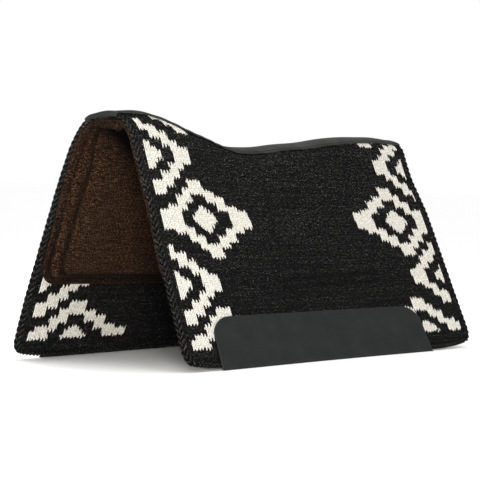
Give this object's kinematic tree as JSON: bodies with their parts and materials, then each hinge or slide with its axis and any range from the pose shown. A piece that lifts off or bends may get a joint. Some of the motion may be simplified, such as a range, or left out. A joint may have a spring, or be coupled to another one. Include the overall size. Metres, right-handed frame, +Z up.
{
  "type": "saddle pad",
  "caption": "Contoured western saddle pad with a woven wool top, a felt liner, wear leathers and a spine strip, folding along the spine.",
  "frame": {"origin": "on the ground that the pad stands on, under the middle of the spine", "axes": "+X along the spine from the withers to the rear, +Y towards the off (right) side, +Z up"},
  "size_m": [0.813, 0.3316, 0.3531],
  "materials": {
    "woven_wool": "twined wool weave, black with off-white stepped diamonds",
    "edge_cord": "twined wool cord",
    "webbing": "plain woven webbing",
    "strip_leather": "soft black leather, slightly sheened",
    "wear_leather": "matte black leather",
    "thread": "waxed black thread",
    "felt": "brown pressed felt",
    "contact_felt": "brown brushed felt",
    "liner_thread": "brown thread"
  },
  "bodies": {
    "near_side": {"blanket_near": "woven_wool", "front_cord_near": "edge_cord", "rear_cord_near": "edge_cord", "bottom_hem_near": "edge_cord", "spine_webbing": "webbing", "spine_strip": "strip_leather", "spine_stitching": "thread", "wear_leather_near": "wear_leather", "leather_stitching_near": "thread", "felt_base_near": "felt", "felt_ridge": "felt", "cushion_panel_near": "felt", "contact_panel_near": "contact_felt", "liner_stitching_near": "liner_thread"},
    "off_side": {"blanket_off": "woven_wool", "front_cord_off": "edge_cord", "rear_cord_off": "edge_cord", "bottom_hem_off": "edge_cord", "wear_leather_off": "wear_leather", "leather_stitching_off": "thread", "felt_base_off": "felt", "cushion_panel_off": "felt", "contact_panel_off": "contact_felt", "liner_stitching_off": "liner_thread"}
  },
  "joints": [
    {"name": "spine_fold", "type": "hinge", "parent": "near_side", "child": "off_side", "pos_m": [0, 0, 0.328], "axis": [1, 0, 0], "range_deg": [-28, 60], "deforming": ["spine_webbing", "spine_strip", "spine_stitching", "felt_ridge"]}
  ]
}
